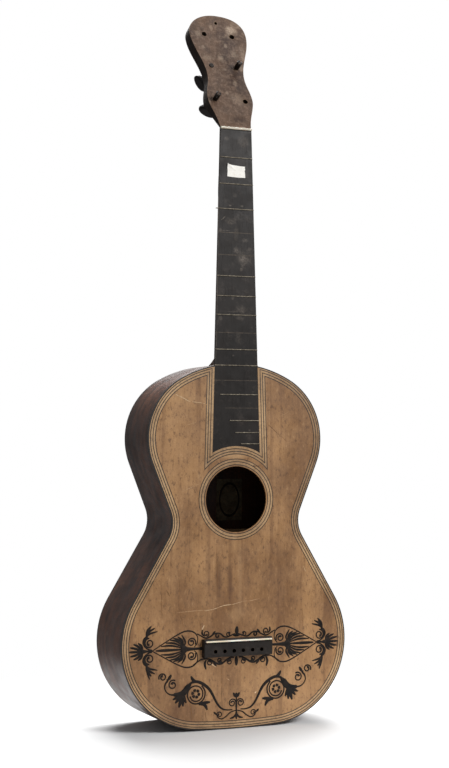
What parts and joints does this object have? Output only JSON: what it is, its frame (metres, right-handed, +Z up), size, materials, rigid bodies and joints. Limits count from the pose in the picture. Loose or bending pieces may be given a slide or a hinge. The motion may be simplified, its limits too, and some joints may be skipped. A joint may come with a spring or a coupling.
{
  "type": "early romantic guitar",
  "caption": "Small-bodied early guitar with a round soundhole, a flat figure-eight body, a pin bridge and a leaned-back peg head.",
  "frame": {"origin": "under the middle of the tail, at the centre of the depth", "axes": "+Z up the neck, -Y the way the soundboard faces, +X the treble side"},
  "size_m": [0.3016, 0.1078, 0.9085],
  "materials": {
    "spruce_top": "aged amber spruce under worn, dull varnish",
    "light_line": "inlaid pale lines under old varnish",
    "dark_line": "inlaid dark lines and edges, satin",
    "rib_wood": "dark glossy varnish over figured hardwood",
    "neck_wood": "dark stained, rubbed and scuffed",
    "board_wood": "black-brown, satin, worn",
    "fret_metal": "dull tarnished bar frets",
    "bone": "aged bone, satin",
    "bridge_wood": "ebonised, satin",
    "peg_wood": "turned dark wood, polished",
    "paper": "blank aged paper",
    "inner_spruce": "bare unvarnished spruce"
  },
  "bodies": {
    "guitar": {"back_bar_1": "inner_spruce", "back_bar_2": "inner_spruce", "back_bar_3": "inner_spruce", "back_bass": "rib_wood", "back_binding": "dark_line", "back_lining_bass": "inner_spruce", "back_lining_treble": "inner_spruce", "back_strip": "inner_spruce", "back_treble": "rib_wood", "bridge": "bridge_wood", "bridge_patch": "inner_spruce", "edging_dark": "dark_line", "edging_light": "light_line", "fingerboard": "board_wood", "fret_01": "fret_metal", "fret_02": "fret_metal", "fret_03": "fret_metal", "fret_04": "fret_metal", "fret_05": "fret_metal", "fret_06": "fret_metal", "fret_07": "fret_metal", "fret_08": "fret_metal", "fret_09": "fret_metal", "fret_10": "fret_metal", "fret_11": "fret_metal", "fret_12": "fret_metal", "fret_13": "fret_metal", "fret_14": "fret_metal", "fret_15": "fret_metal", "fret_16": "fret_metal", "fret_17": "fret_metal", "front_binding": "dark_line", "front_lining_bass": "inner_spruce", "front_lining_treble": "inner_spruce", "head": "neck_wood", "neck": "neck_wood", "neck_block": "inner_spruce", "nut": "bone", "paper_tag": "paper", "rib_bass": "rib_wood", "rib_treble": "rib_wood", "rosette_dark": "dark_line", "rosette_light": "light_line", "saddle": "bone", "soundboard_bass": "spruce_top", "soundboard_treble": "spruce_top", "tail_block": "inner_spruce", "tail_strip": "rib_wood", "tongue_patch": "inner_spruce", "top_bar_1": "inner_spruce", "top_bar_2": "inner_spruce", "top_bar_3": "inner_spruce", "top_bar_4": "inner_spruce", "top_bar_5": "inner_spruce"},
    "peg_low_bass": {"peg_low_bass": "peg_wood"},
    "peg_middle_bass": {"peg_middle_bass": "peg_wood"},
    "peg_middle_treble": {"peg_middle_treble": "peg_wood"}
  },
  "joints": [
    {"name": "peg_low_bass_turn", "type": "hinge", "parent": "guitar", "child": "peg_low_bass", "pos_m": [-0.0206, -0.01723, 0.78326], "axis": [0, -0.9157, 0.4019], "continuous": true},
    {"name": "peg_middle_bass_turn", "type": "hinge", "parent": "guitar", "child": "peg_middle_bass", "pos_m": [-0.0175, 0.00367, 0.83087], "axis": [0, -0.9157, 0.4019], "continuous": true},
    {"name": "peg_middle_treble_turn", "type": "hinge", "parent": "guitar", "child": "peg_middle_treble", "pos_m": [0.0175, 0.00367, 0.83087], "axis": [0, -0.9157, 0.4019], "continuous": true}
  ]
}
